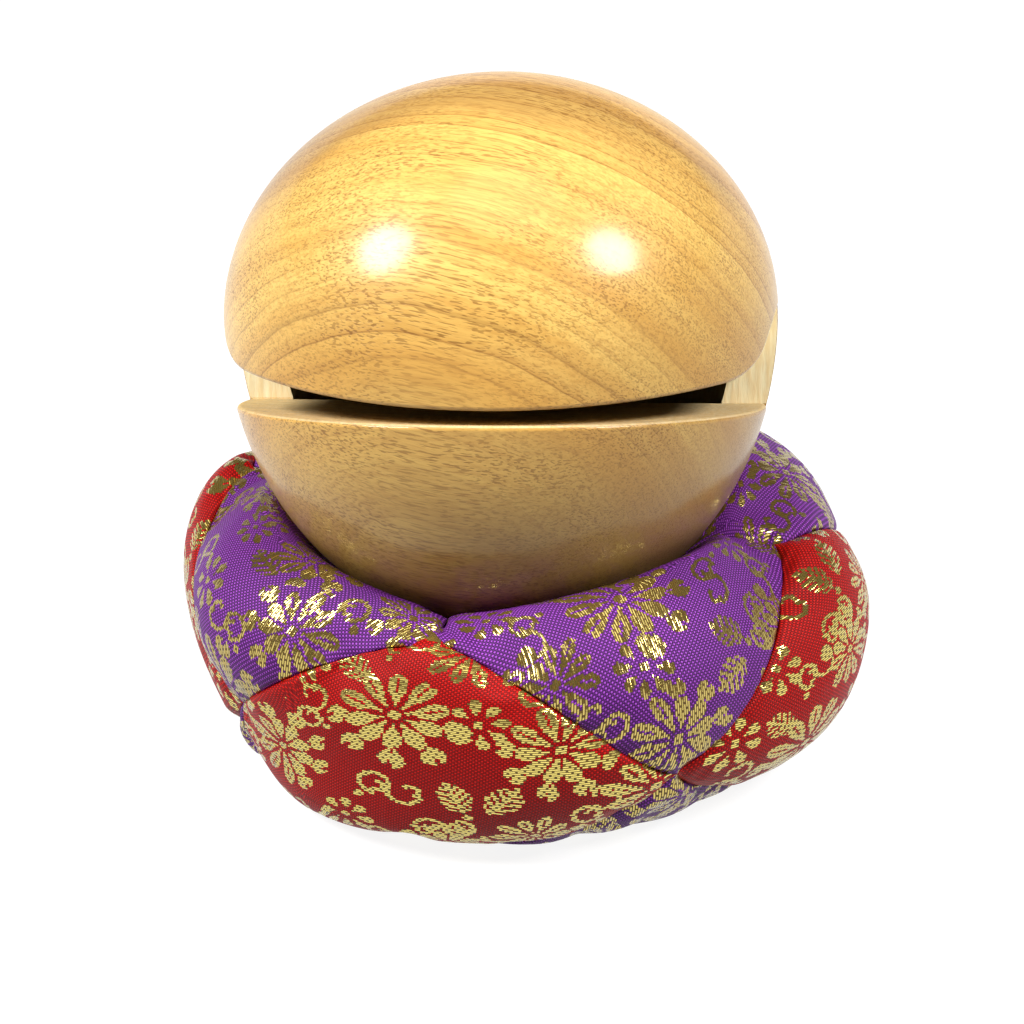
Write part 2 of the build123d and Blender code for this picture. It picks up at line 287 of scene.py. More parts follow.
def lay_flat(points, along_sum):
    """The patch's place on its flat cloth, in millimetres, with the weft along the first axis."""
    n = points.shape[0]
    index = np.arange(n * n).reshape(n, n)
    pairs = [
        (index[:-1], index[1:]),
        (index[:, :-1], index[:, 1:]),
        (index[:-1, :-1], index[1:, 1:]),
        (index[1:, :-1], index[:-1, 1:]),
    ]
    first = np.concatenate([a.ravel() for a, b in pairs])
    second = np.concatenate([b.ravel() for a, b in pairs])
    solid = points.reshape(-1, 3)
    length = np.linalg.norm(solid[first] - solid[second], axis=1)
    u, v = [steps - 0.5 for steps in patch_steps(n)]
    if along_sum:
        flat = PATCH_HALF_DIAGONAL * np.stack([u + v, u - v], -1).reshape(-1, 2)
    else:
        flat = PATCH_HALF_DIAGONAL * np.stack([u - v, -u - v], -1).reshape(-1, 2)
    count = np.bincount(first, minlength=n * n) + np.bincount(second, minlength=n * n)
    for _ in range(FLAT_ROUNDS):
        arm = flat[second] - flat[first]
        now = np.linalg.norm(arm, axis=1)
        move = arm * (0.5 * (1 - length / np.maximum(now, 1e-6)))[:, None]
        shift = np.zeros_like(flat)
        np.add.at(shift, first, move)
        np.add.at(shift, second, -move)
        flat = flat + FLAT_STEP * shift / count[:, None]
    flat = flat - flat.mean(0)
    square = flat.reshape(n, n, 2)
    if along_sum:
        arm = square[-1, -1] - square[0, 0]
    else:
        arm = square[-1, 0] - square[0, -1]
    arm = arm / np.linalg.norm(arm)
    return np.stack([flat @ arm, flat @ np.array([-arm[1], arm[0]])], -1).reshape(n, n, 2)


# Shader nodes from plain arithmetic

class Flow:
    """A value on its way through a node tree. Arithmetic on it adds nodes."""

    def __init__(self, tree, socket):
        self.tree = tree
        self.socket = socket

    def math(self, operation, *others):
        node = self.tree.nodes.new("ShaderNodeMath")
        node.operation = operation
        for value, socket in zip((self, *others), node.inputs):
            plug(self.tree, value, socket)
        return Flow(self.tree, node.outputs[0])

    def vector(self, operation, *others):
        node = self.tree.nodes.new("ShaderNodeVectorMath")
        node.operation = operation
        for value, socket in zip((self, *others), node.inputs):
            plug(self.tree, value, socket)
        output = "Value" if operation in ("DOT_PRODUCT", "LENGTH") else "Vector"
        return Flow(self.tree, node.outputs[output])

    def __add__(self, other):
        return self.math("ADD", other)

    def __sub__(self, other):
        return self.math("SUBTRACT", other)

    def __mul__(self, other):
        return self.math("MULTIPLY", other)

    def __truediv__(self, other):
        return self.math("DIVIDE", other)

    def less(self, other):
        return self.math("LESS_THAN", other)

    def more(self, other):
        return self.math("GREATER_THAN", other)

    def most(self, other):
        return self.math("MAXIMUM", other)

    def least(self, other):
        return self.math("MINIMUM", other)

    def dot(self, other):
        return self.vector("DOT_PRODUCT", other)

    def length(self):
        return self.vector("LENGTH")

    def ramp(self, low, high, start=0.0, end=1.0):
        """Goes from start to end, smoothly, while this value goes from low to high."""
        node = self.tree.nodes.new("ShaderNodeMapRange")
        node.interpolation_type = "SMOOTHSTEP"
        for value, socket in zip((self, low, high, start, end), node.inputs):
            plug(self.tree, value, socket)
        return Flow(self.tree, node.outputs[0])


def plug(tree, value, socket):
    if isinstance(value, Flow):
        tree.links.new(value.socket, socket)
    else:
        socket.default_value = value


def add_node(tree, kind, inputs=None, **settings):
    node = tree.nodes.new(kind)
    for name, value in settings.items():
        setattr(node, name, value)
    for name, value in (inputs or {}).items():
        plug(tree, value, node.inputs[name])
    return node


def mix(tree, factor, first, second, kind="FLOAT"):
    """Goes from the first value to the second as the factor goes from 0 to 1."""
    node = tree.nodes.new("ShaderNodeMix")
    node.data_type = kind
    place = {"FLOAT": 2, "VECTOR": 4, "RGBA": 6}[kind]
    plug(tree, factor, node.inputs[0])
    plug(tree, first, node.inputs[place])
    plug(tree, second, node.inputs[place + 1])
    return Flow(tree, node.outputs[{"FLOAT": 0, "VECTOR": 1, "RGBA": 2}[kind]])


def join(tree, x, y, z=0.0):
    node = add_node(tree, "ShaderNodeCombineXYZ", {"X": x, "Y": y, "Z": z})
    return Flow(tree, node.outputs[0])


def noise(tree, place, scale, detail=2.0, roughness=0.5):
    inputs = {"Vector": place, "Scale": scale, "Detail": detail, "Roughness": roughness}
    return Flow(tree, add_node(tree, "ShaderNodeTexNoise", inputs).outputs[0])


def new_material(name):
    material = bpy.data.materials.new(name)
    material.use_nodes = True
    tree = material.node_tree
    shader = tree.nodes["Principled BSDF"]
    return material, tree, shader


def bump(tree, height, strength, distance):
    node = add_node(tree, "ShaderNodeBump", {"Strength": strength, "Distance": distance, "Height": height})
    return Flow(tree, node.outputs[0])


# Wood: growth layers, pores along the block, lacquer outside and bare wood inside

# The wood's directions in the fish's own frame: along the fibres, through the layers, and across both
FIBRE_WAY = (0.981, -0.104, -0.160)
LAYER_WAY = (0.191, 0.535, 0.823)
BESIDE_WAY = (0.0, 0.839, -0.545)
LAYER_BEND = 0.0022
LAYER_WIDTH = 4.4

# Colours of the lacquered wood and of the bare wood
PALE_WOOD = (0.93, 0.61, 0.165, 1)
HONEY_WOOD = (0.74, 0.40, 0.085, 1)
TINTED_LAYER = (0.62, 0.315, 0.07, 1)
LATE_WOOD = (0.52, 0.245, 0.045, 1)
FIBRE_BROWN = (0.52, 0.25, 0.05, 1)
FINE_BROWN = (0.46, 0.225, 0.055, 1)
PATCHY_BROWN = (0.30, 0.165, 0.055, 1)
LINE_BROWN = (0.25, 0.105, 0.02, 1)
PORE_BROWN = (0.22, 0.092, 0.016, 1)
SIDE_BROWN = (0.21, 0.115, 0.04, 1)
# Darker brown low on the bowl: partly the wood's own tone, partly painted shade where the bowl faces away
# from the lamps
BOWL_SHADE_AND_TONE = (0.16, 0.095, 0.035, 1)
BARE_PALE = (0.98, 0.89, 0.60, 1)
BARE_TAN = (0.88, 0.70, 0.39, 1)
# Painted shade for the inside of the hollow
HOLLOW_SHADE_BROWN = (0.10, 0.055, 0.022, 1)


def wood_material():
    material, tree, shader = new_material("camphor_wood")
    place = Flow(tree, add_node(tree, "ShaderNodeTexCoord").outputs["Object"])
    place = place.vector("MULTIPLY", (1000.0, 1000.0, 1000.0)).vector("SUBTRACT", tuple(FISH_MIDDLE))
    along = place.dot(tuple(STANCE.col[0]))
    deep = place.dot(tuple(STANCE.col[1]))
    tall = place.dot(tuple(STANCE.col[2]))
    own = join(tree, along, deep, tall)

    # Lacquered on the outside of the egg and on the handle, bare in the saw cut, and painted dark as shade
    # in the hollow
    shell_tall = place.dot(tuple(SHELL_UP))
    shell_wide = (place.dot(place) - shell_tall * shell_tall).math("SQRT")
    above = shell_tall.more(0.0)
    upright = shell_tall / mix(tree, above, KEEL_DEPTH, CROWN_HEIGHT)
    share = join(tree, shell_wide / BODY_RADIUS, upright).length()
    on_floor = (tall - SLIT_FLOOR).math("ABSOLUTE").less(0.35) * deep.less(SLIT_END)
    on_end = (deep - SLIT_END).math("ABSOLUTE").less(0.2) * tall.more(SLIT_FLOOR) * share.less(0.998)
    sawn = on_floor.most(on_end)
    lacquered = share.ramp(0.975, 0.99) * (sawn * -1.0 + 1.0)
    hollow_shade = share.ramp(0.86, 0.83) * (sawn * -1.0 + 1.0)

    # Growth layers: bent sheets, wavering as the trunk did, each with its own width and tint
    fibre_way = own.dot(FIBRE_WAY)
    beside = own.dot(BESIDE_WAY)
    waver = noise(tree, own, 0.013, 2.0) - 0.5
    ripple = noise(tree, join(tree, fibre_way * 0.5, own.dot(LAYER_WAY), beside), 0.07, 2.0) - 0.5
    layer = own.dot(LAYER_WAY) - beside * beside * LAYER_BEND + waver * 7.0 + ripple * 1.6
    uneven_width = noise(tree, join(tree, layer, 0.0, 0.0), 0.10, 1.0)
    count = (layer + uneven_width * 9.0) / LAYER_WIDTH
    part = count.math("FRACT")
    tint_node = add_node(tree, "ShaderNodeTexWhiteNoise", noise_dimensions="1D")
    plug(tree, count.math("FLOOR"), tint_node.inputs["W"])
    tint = Flow(tree, tint_node.outputs["Value"])
    strong = tint * tint
    line = part.ramp(0.11, 0.0) + part.ramp(0.96, 1.0)
    in_dome = tall.ramp(-34.0, -14.0)
    fade = part.ramp(0.75, 0.0) * (strong * 0.8 + 0.2) * (in_dome * 0.7 + 0.3)
    broad = noise(tree, join(tree, layer, fibre_way * 0.03, 0.0), 0.055, 3.0, 0.6)
    patchy = noise(tree, join(tree, fibre_way * 0.35, layer, beside), 0.024, 2.0, 0.55)
    fine = noise(tree, join(tree, layer, fibre_way * 0.012, beside * 0.05), 1.5, 3.0, 0.65)

    # Pores: short dark dashes along the fibres, thickest just past each growth line
    grain = join(tree, fibre_way * 0.10, layer, beside)
    dense = noise(tree, join(tree, fibre_way * 0.3, layer, beside), 0.06, 2.0).ramp(0.36, 0.62)
    crowd = (fade * 0.30 + dense * 0.50 + 0.30).least(1.0)
    pores = noise(tree, grain, 2.7, 1.0, 0.45).ramp(0.52, 0.63) * crowd
    fibre = noise(tree, join(tree, fibre_way * 0.04, layer, beside), 1.3, 3.0, 0.62)

    # Each colour and how much of it lies over those before it, ending with the darker right side and the
    # darker bowl, whose brown is partly the wood's own tone and partly painted shade
    line = line.least(1.0) * (strong * 0.55 + 0.10) * (in_dome * 0.8 + 0.2)
    to_right = (along * 0.8 - tall * 0.6).ramp(14.0, 66.0)
    colour = mix(tree, broad.ramp(0.34, 0.66), PALE_WOOD, HONEY_WOOD, "RGBA")
    for share_over, over in [
        (tint.ramp(0.5, 1.0) * 0.30, TINTED_LAYER),
        (fade * 0.42, LATE_WOOD),
        (fibre.ramp(0.42, 0.68) * 0.46, FIBRE_BROWN),
        (fine.ramp(0.50, 0.74) * 0.34, FINE_BROWN),
        (patchy.ramp(0.52, 0.72) * 0.50, PATCHY_BROWN),
        (line, LINE_BROWN),
        (pores * 0.76, PORE_BROWN),
        (to_right * 0.58, SIDE_BROWN),
        # Darker towards the bottom of the bowl: partly the wood's tone, partly painted shade
        (tall.ramp(-12.0, -64.0) * 0.60, BOWL_SHADE_AND_TONE),
    ]:
        colour = mix(tree, share_over, colour, over, "RGBA")

    # Bare wood: pale and rough on the end walls, plainer on the mouth's floor, and painted dark as shade in
    # the hollow
    saw = noise(tree, join(tree, along, deep * 0.4, tall * 0.12), 0.9, 3.0, 0.7)
    bare = mix(tree, saw.ramp(0.3, 0.7), BARE_PALE, BARE_TAN, "RGBA")
    bare = mix(tree, on_floor * 0.55, bare, colour, "RGBA")
    bare = mix(tree, hollow_shade, bare, HOLLOW_SHADE_BROWN, "RGBA")
    colour = mix(tree, lacquered, bare, colour, "RGBA")
    plug(tree, colour, shader.inputs["Base Color"])

    plug(tree, mix(tree, lacquered, 0.85, 0.42) + pores * 0.12, shader.inputs["Roughness"])
    plug(tree, lacquered * 0.65, shader.inputs["Coat Weight"])
    shader.inputs["Coat Roughness"].default_value = 0.18
    shader.inputs["Coat IOR"].default_value = 1.4
    shader.inputs["Specular IOR Level"].default_value = 0.22
    relief = mix(tree, lacquered, saw * 0.8, fibre * 0.16 - pores * 0.16)
    plug(tree, bump(tree, relief, 0.5, 0.0005), shader.inputs["Normal"])
    return material


# Brocade: a plain weave with gold flowers, scrolls and sprigs in short floats

REPEAT = (78.0, 60.0)
THREAD = (0.55, 0.50)
# Each motif's place on the cloth in millimetres, turn in degrees and size
BIG_FLOWERS = [
    (-2.5, 17.7, 0, 1.0), (30.2, 12.5, -12, 0.86), (27.5, -15.0, 28, 0.70),
    (-28.5, 0.0, 118, 0.85), (10.5, 36.5, 165, 0.72),
]
SMALL_FLOWERS = [
    (14.1, 18.5, 0, 1.0), (-24.5, 29.0, 15, 1.0), (-12.0, -17.0, 30, 1.0), (36.0, 31.5, 10, 0.9),
]
SCROLLS = [
    (-4.0, -4.5, 0, 1.05), (10.2, -13.9, 200, 1.0), (38.0, -4.5, 75, 1.0), (-20.5, 15.0, 100, 0.95),
    (-27.0, -19.5, 40, 1.0), (-3.0, 37.5, 20, 0.9), (23.5, 27.5, 140, 0.9),
]
SPRIGS = [
    (10.4, -3.4, 25, 0.95), (19.6, -2.2, -30, 1.0), (-37.5, 18.5, 10, 1.0), (-13.0, -31.0, 60, 0.9),
]
# Colours of the threads: where the ground's thread stands up and the painted shade where it dips, the gilt,
# and its ties
PURPLE_CREST = (0.50, 0.10, 0.75, 1)
PURPLE_GAP_SHADE = (0.033, 0.003, 0.056, 1)
# The same gilt as on the red, made darker as painted shade on the purple patches
PURPLE_GILT_SHADED = (0.60, 0.47, 0.14, 1)
RED_CREST = (0.94, 0.014, 0.009, 1)
RED_GAP_SHADE = (0.16, 0.001, 0.001, 1)
RED_GILT = (0.84, 0.68, 0.18, 1)
# Brown of the ties, also painted as shade in the dips between gold rows
TIE_BROWN_AND_SHADE = (0.08, 0.034, 0.006, 1)


def nearest(tree, place, motifs):
    """Coordinates within whichever of a kind of motif is nearest."""
    half = (REPEAT[0] / 2, REPEAT[1] / 2, 1.0)
    minus = (-half[0], -half[1], -1.0)
    chosen = None
    for x, y, turn, size in motifs:
        arm = place.vector("SUBTRACT", (x, y, 0.0)).vector("WRAP", half, minus)
        away = arm.length()
        angle = math.radians(turn)
        axis = (math.cos(angle) / size, math.sin(angle) / size, 0.0)
        if chosen is None:
            chosen = arm
            least = away
            heading = axis
        else:
            closer = away.less(least)
            chosen = mix(tree, closer, chosen, arm, "VECTOR")
            heading = mix(tree, closer, heading, axis, "VECTOR")
            least = least.least(away)
    cross = heading.vector("CROSS_PRODUCT", (0.0, 0.0, -1.0))
    return chosen.dot(heading), chosen.dot(cross)


def petals(reach, turn, count, phase, inner, half_width, length):
    """A ring of teardrop petals on thin rays. Gives how far inside a petal a point is, and where."""
    cell = math.pi / count
    across = ((turn + phase).math("WRAP", cell, -cell) * reach).math("ABSOLUTE")
    which = ((turn + phase) / (2 * cell)).math("ROUND")
    vary = ((which * 2.4 + count).math("SINE") * 91.7).math("FRACT")
    part = (reach - inner) / ((vary * 0.24 + 0.88) * length)
    past = (part - 0.68).most(0.0) / 0.32
    rounded = (past * past * -1.0 + 1.0).most(0.0).math("SQRT")
    wide = (part.ramp(0.0, 0.7) * 0.85 + 0.15) * rounded * half_width
    return (wide - across).least(reach - inner), across, part


def big_flower(tree, x, y):
    """A chrysanthemum: rays of long petals, and a row of notched ones below."""
    reach = join(tree, x, y).length()
    turn = x.math("ARCTAN2", y)
    upward = (y / reach.most(0.01)).ramp(-0.3, 0.5)
    depth, across, part = petals(reach, turn, 10, 0.0, 2.3, 2.1, upward * 2.2 + 7.8)
    vein = across.less(0.3) * part.more(0.42) * part.less(0.86) * upward.more(0.5)
    inner = depth.more(0.0) * (vein * -1.0 + 1.0)
    apart = depth.less(-0.5) + reach.more(11.0)
    depth, across, part = petals(reach, turn, 9, 0.35, 8.4, 2.8, 7.2)
    notch = across.less(0.55) * part.more(0.74)
    outer = depth.more(0.0) * (notch * -1.0 + 1.0) * upward.less(0.45) * apart.least(1.0)
    return inner.most(outer).most(reach.less(1.35))


def small_flower(tree, x, y):
    """Eight separate petals round a dot."""
    reach = join(tree, x, y).length()
    turn = x.math("ARCTAN2", y)
    depth = petals(reach, turn, 8, 0.2, 2.4, 1.3, 4.0)[0]
    return depth.more(0.0).most(reach.less(1.0))


def arc(tree, place, middle, radius, towards, spread, stroke):
    """Part of a ring: its middle, the direction of its own middle, and how far it spreads each way."""
    arm = place.vector("SUBTRACT", (middle[0], middle[1], 0.0))
    away = arm.length()
    angle = math.radians(towards)
    side = arm.dot((math.cos(angle), math.sin(angle), 0.0))
    inside = side.more(away * math.cos(math.radians(spread)))
    return away.math("COMPARE", radius, stroke) * inside


def scroll(tree, x, y):
    """A tendril that curls in at both ends."""
    place = join(tree, x, y)
    line = arc(tree, place, (-1.6, 0.8), 3.0, 120, 150, 0.55)
    line = line.most(arc(tree, place, (-1.0, 0.2), 1.35, -20, 120, 0.5))
    line = line.most(arc(tree, place, (4.1, 0.0), 3.4, -110, 105, 0.5))
    line = line.most(arc(tree, place, (5.6, 0.6), 1.5, 40, 110, 0.5))
    bud = place.vector("SUBTRACT", (-4.6, -3.4, 0.0)).length().less(1.0)
    return line.most(bud)


def sprig(tree, x, y):
    """A feathery leaf: slanting barbs on both sides of a rib."""
    side = x.math("ABSOLUTE")
    envelope = join(tree, x / 3.5, y / 4.7).length().less(1.0)
    barb = ((y - side * 0.7) / 1.9).math("FRACT").less(0.62)
    rib = side.less(0.5) * y.math("ABSOLUTE").less(5.2)
    return (envelope * barb).most(rib)


def brocade_group():
    """The weave: where it is gold, how high the threads stand, and which way they face."""
    tree = bpy.data.node_groups.new("brocade", "ShaderNodeTree")
    for name in ("Gold", "Thread", "Float"):
        tree.interface.new_socket(name=name, in_out="OUTPUT", socket_type="NodeSocketFloat")
    tree.interface.new_socket(name="Relief", in_out="OUTPUT", socket_type="NodeSocketColor")
    flat = Flow(tree, add_node(tree, "ShaderNodeUVMap", uv_map="cloth").outputs["UV"])
    place = flat.vector("MULTIPLY", (1 / UV_PER_MM, 1 / UV_PER_MM, 0.0))
    count = place.vector("DIVIDE", (THREAD[0], THREAD[1], 1.0))
    cell = count.vector("FLOOR")
    within = count.vector("SUBTRACT", cell).vector("SUBTRACT", (0.5, 0.5, 0.0))
    middle = cell.vector("ADD", (0.5, 0.5, 0.0)).vector("MULTIPLY", (THREAD[0], THREAD[1], 0.0))

    gold = big_flower(tree, *nearest(tree, middle, BIG_FLOWERS))
    gold = gold.most(small_flower(tree, *nearest(tree, middle, SMALL_FLOWERS)))
    gold = gold.most(scroll(tree, *nearest(tree, middle, SCROLLS)))
    gold = gold.most(sprig(tree, *nearest(tree, middle, SPRIGS)))

    split = add_node(tree, "ShaderNodeSeparateXYZ")
    plug(tree, within, split.inputs[0])
    across = Flow(tree, split.outputs[0])
    upward = Flow(tree, split.outputs[1])
    row_split = add_node(tree, "ShaderNodeSeparateXYZ")
    plug(tree, cell, row_split.inputs[0])
    column = Flow(tree, row_split.outputs[0])
    row = Flow(tree, row_split.outputs[1])

    # Ground: every other crossing shows the shiny thread, each crossing painted from its thread's colour on
    # top to painted shade at its edges
    parity = (column + row).math("FLOORED_MODULO", 2.0)
    round_x = (across * math.pi).math("COSINE")
    round_y = (upward * math.pi).math("COSINE")
    crest = round_x * round_y
    thread = crest * mix(tree, parity, 1.0, 0.22)

    # Gold: floats along the row, each tied down at every fifth thread, the ties stepping from row to row;
    # where a float dips at the edge of its row, the ties' brown is painted there as shade
    step = column + row * 2.0
    tied = step.math("FLOORED_MODULO", 5.0).less(0.5)
    open_row = round_y.ramp(0.28, 0.82)
    floating = open_row * (tied * -0.85 + 1.0)

    # Which way the thread faces
    dash = join(tree, (step / 5.0).math("FLOOR"), row)
    chance_node = add_node(tree, "ShaderNodeTexWhiteNoise", noise_dimensions="2D")
    plug(tree, dash, chance_node.inputs["Vector"])
    chance = Flow(tree, chance_node.outputs["Value"])
    slope_x = (across * math.pi).math("SINE")
    slope_y = (upward * math.pi).math("SINE")
    ground_x = slope_x * 0.30
    ground_y = slope_y * 0.30
    gold_x = slope_x * 0.05 + (chance - 0.5) * 0.44
    gold_y = slope_y * 0.24 + (chance - 0.5) * 0.24
    face_x = mix(tree, gold, ground_x, gold_x) * 0.5 + 0.5
    face_y = mix(tree, gold, ground_y, gold_y) * 0.5 + 0.5
    relief = join(tree, face_x, face_y, 1.0)

    output = tree.nodes.new("NodeGroupOutput")
    plug(tree, gold, output.inputs["Gold"])
    plug(tree, thread, output.inputs["Thread"])
    plug(tree, floating, output.inputs["Float"])
    plug(tree, relief, output.inputs["Relief"])
    return tree


def brocade_material(name, weave, crest, gap_shade, gilt):
    material, tree, shader = new_material(name)
    group = tree.nodes.new("ShaderNodeGroup")
    group.node_tree = weave
    gold = Flow(tree, group.outputs["Gold"])
    thread = Flow(tree, group.outputs["Thread"])
    floating = Flow(tree, group.outputs["Float"])
    place = Flow(tree, add_node(tree, "ShaderNodeTexCoord").outputs["Object"])
    fade = noise(tree, place, 45.0, 2.0).ramp(0.35, 0.7)
    # Painted shade in the dips between threads, the thread's own colour on its crest
    ground = mix(tree, thread, gap_shade, crest, "RGBA")
    ground = mix(tree, fade * 0.12, ground, gap_shade, "RGBA")
    # The ties' brown, with painted shade where the gold rows dip, and the gilt on the floats
    metal = mix(tree, floating, TIE_BROWN_AND_SHADE, gilt, "RGBA")
    plug(tree, mix(tree, gold, ground, metal, "RGBA"), shader.inputs["Base Color"])
    plug(tree, gold * floating * 0.92, shader.inputs["Metallic"])
    plug(tree, mix(tree, gold, 0.50, 0.17), shader.inputs["Roughness"])
    shader.inputs["Specular IOR Level"].default_value = 0.16
    facing = add_node(tree, "ShaderNodeNormalMap", {"Strength": 0.9}, uv_map="cloth")
    tree.links.new(group.outputs["Relief"], facing.inputs["Color"])
    tree.links.new(facing.outputs[0], shader.inputs["Normal"])
    return material


def wadding_material():
    material, tree, shader = new_material("cotton_wadding")
    place = Flow(tree, add_node(tree, "ShaderNodeTexCoord").outputs["Object"])
    tuft = noise(tree, place, 350.0, 5.0, 0.65)
    colour = mix(tree, tuft.ramp(0.3, 0.7), (0.70, 0.67, 0.60, 1), (0.90, 0.88, 0.82, 1), "RGBA")
    plug(tree, colour, shader.inputs["Base Color"])
    shader.inputs["Roughness"].default_value = 0.95
    plug(tree, bump(tree, tuft, 0.7, 0.001), shader.inputs["Normal"])
    return material


def thread_material():
    material, tree, shader = new_material("tie_thread")
    place = Flow(tree, add_node(tree, "ShaderNodeTexCoord").outputs["Object"])
    lay = place.dot((900.0, 900.0, 2600.0)).math("SINE")
    colour = mix(tree, lay.ramp(-1.0, 1.0), (0.13, 0.03, 0.24, 1), (0.32, 0.10, 0.52, 1), "RGBA")
    plug(tree, colour, shader.inputs["Base Color"])
    shader.inputs["Roughness"].default_value = 0.7
    plug(tree, bump(tree, lay, 0.5, 0.0002), shader.inputs["Normal"])
    return material


# Cushion pieces

def cloth_grids():
    """Every patch's outside points and flat cloth places."""
    u, v = patch_steps(GRID)
    names = [(kind, number) for kind in ("top", "side", "base") for number in range(4)]
    drawn = [patch_points(kind, number, u, v) for kind, number in names]
    flats = [lay_flat(points, kind != "side") for points, (kind, number) in zip(drawn, names)]
    settled = settle_cover(drawn)
    found = {}
    for name, points, flat in zip(names, settled, flats):
        found[name] = (sink_seams(points, u, v), flat)
    return found


def weld_grids(grids):
    """One numbering for the points of all patches, with each seam point counted once."""
    points = np.concatenate([grid.reshape(-1, 3) for grid in grids])
    keys = np.round(points * 20).astype(np.int64)
    unique, first, number = np.unique(keys, axis=0, return_index=True, return_inverse=True)
    return points[first], number.reshape(-1)


def settle_cover(grids):
    """Sews the patches into one cover and lets it fill as cloth does, gathered a little at the seams."""
    points, number = weld_grids(grids)
    n = grids[0].shape[0]
    faces = []
    rim = np.zeros((n, n), bool)
    rim[0] = rim[-1] = rim[:, 0] = rim[:, -1] = True
    corner = np.zeros((n, n), bool)
    corner[0, 0] = corner[0, -1] = corner[-1, 0] = corner[-1, -1] = True
    seam = np.zeros(len(points), bool)
    fixed = np.zeros(len(points), bool)
    for place, grid in enumerate(grids):
        own = number[place * n * n:(place + 1) * n * n]
        faces.append(own[grid_faces(n, outward_flip(grid))])
        seam[own[rim.ravel()]] = True
        fixed[own[corner.ravel()]] = True
    faces = np.concatenate(faces)
    from_seam = np.zeros(len(points))
    from_seam[number] = np.tile(from_seams(*patch_steps(n)).ravel(), len(grids))
    loose = SEAM_EASE * np.exp(-((from_seam / SEAM_EASE_WIDTH) ** 2)) + OPEN_EASE
    loose[fixed] = 0
    settled = smoothed(points, faces, loose, SMOOTH_ROUNDS)
    settled = press(collar(settled - inward(settled) * FILL_OUT))
    settled = cloth_result(settled, faces, seam, fixed)
    settled = clear_floor(rest(press(settled)))
    return [settled[number[i * n * n:(i + 1) * n * n]].reshape(n, n, 3) for i in range(len(grids))]


def smoothed(points, faces, loose, rounds):
    """Evens out the hollows between the patches, as one filling does under all of them."""
    first = np.concatenate([faces[:, i] for i in range(4)])
    second = np.concatenate([faces[:, (i + 1) % 4] for i in range(4)])
    count = np.bincount(first, minlength=len(points))[:, None]
    for _ in range(rounds):
        total = np.zeros_like(points)
        np.add.at(total, first, points[second])
        points = points + loose[:, None] * (total / count - points)
    return points


def clear_floor(points):
    """Keeps every point on or above the table."""
    return np.concatenate([points[..., :2], np.maximum(points[..., 2:], TABLE_GAP)], -1)


def cloth_result(points, faces, seam, fixed):
    """Runs Blender's cloth on the cover at ten times its size, and caps how far a point moves."""
    grown = 10.0
    cover = new_mesh_object("cover_at_work", points * grown, faces)
    pins = cover.vertex_groups.new(name="pins")
    pins.add(np.flatnonzero(seam).tolist(), SEAM_PIN, "REPLACE")
    pins.add(np.flatnonzero(fixed).tolist(), 1.0, "REPLACE")
    gather = cover.vertex_groups.new(name="gather")
    gather.add(np.flatnonzero(seam).tolist(), 1.0, "REPLACE")
    cloth = cover.modifiers.new("cloth", "CLOTH")
    settings = cloth.settings
    settings.quality = 6
    settings.mass = 0.4
    settings.air_damping = 4.0
    settings.tension_stiffness = 40.0
    settings.compression_stiffness = 40.0
    settings.shear_stiffness = 12.0
    settings.bending_stiffness = 0.6
    settings.tension_damping = 20.0
    settings.compression_damping = 20.0
    settings.shear_damping = 10.0
    settings.vertex_group_mass = "pins"
    settings.pin_stiffness = 4.0
    settings.vertex_group_shrink = "gather"
    settings.shrink_min = -0.02
    settings.shrink_max = 0.02
    settings.use_pressure = True
    settings.uniform_pressure_force = PRESSURE
    settings.effector_weights.gravity = 0.0
    cloth.collision_settings.use_collision = False
    cloth.point_cache.frame_start = 1
    cloth.point_cache.frame_end = CLOTH_FRAMES
    scene = bpy.context.scene
    for number in range(1, CLOTH_FRAMES + 1):
        scene.frame_set(number)
    graph = bpy.context.evaluated_depsgraph_get()
    made = cover.evaluated_get(graph).to_mesh()
    moved = np.zeros(len(made.vertices) * 3)
    made.vertices.foreach_get("co", moved)
    moved = moved.reshape(-1, 3) * 1000.0 / grown
    scene.frame_set(1)
    bpy.data.objects.remove(cover)
    shift = moved - points
    far = np.linalg.norm(shift, axis=1)
    shift = shift * np.minimum(1, CLOTH_LIMIT / np.maximum(far, 1e-9))[:, None]
    return points + shift


def grid_faces(n, flip):
    index = np.arange(n * n).reshape(n, n)
    quads = np.stack([index[:-1, :-1], index[1:, :-1], index[1:, 1:], index[:-1, 1:]], -1).reshape(-1, 4)
    return quads[:, ::-1] if flip else quads


def new_mesh_object(name, points, faces):
    mesh = bpy.data.meshes.new(name)
    mesh.from_pydata((points * 0.001).tolist(), [], faces.tolist())
    mesh.validate()
    mesh.polygons.foreach_set("use_smooth", [True] * len(mesh.polygons))
    thing = bpy.data.objects.new(name, mesh)
    bpy.context.scene.collection.objects.link(thing)
    return thing


def outward_flip(points):
    """Whether a patch's faces have to be turned over to look out."""
    n = points.shape[0]
    middle = points[n // 2, n // 2]
    along = points[n // 2 + 1, n // 2] - middle
    across = points[n // 2, n // 2 + 1] - middle
    return np.cross(along, across) @ inward(middle) > 0


def bake_modifiers(thing):
    """Replaces a piece's mesh by the one that its modifiers make."""
    graph = bpy.context.evaluated_depsgraph_get()
    made = bpy.data.meshes.new_from_object(thing.evaluated_get(graph))
    thing.modifiers.clear()
    thing.data = made


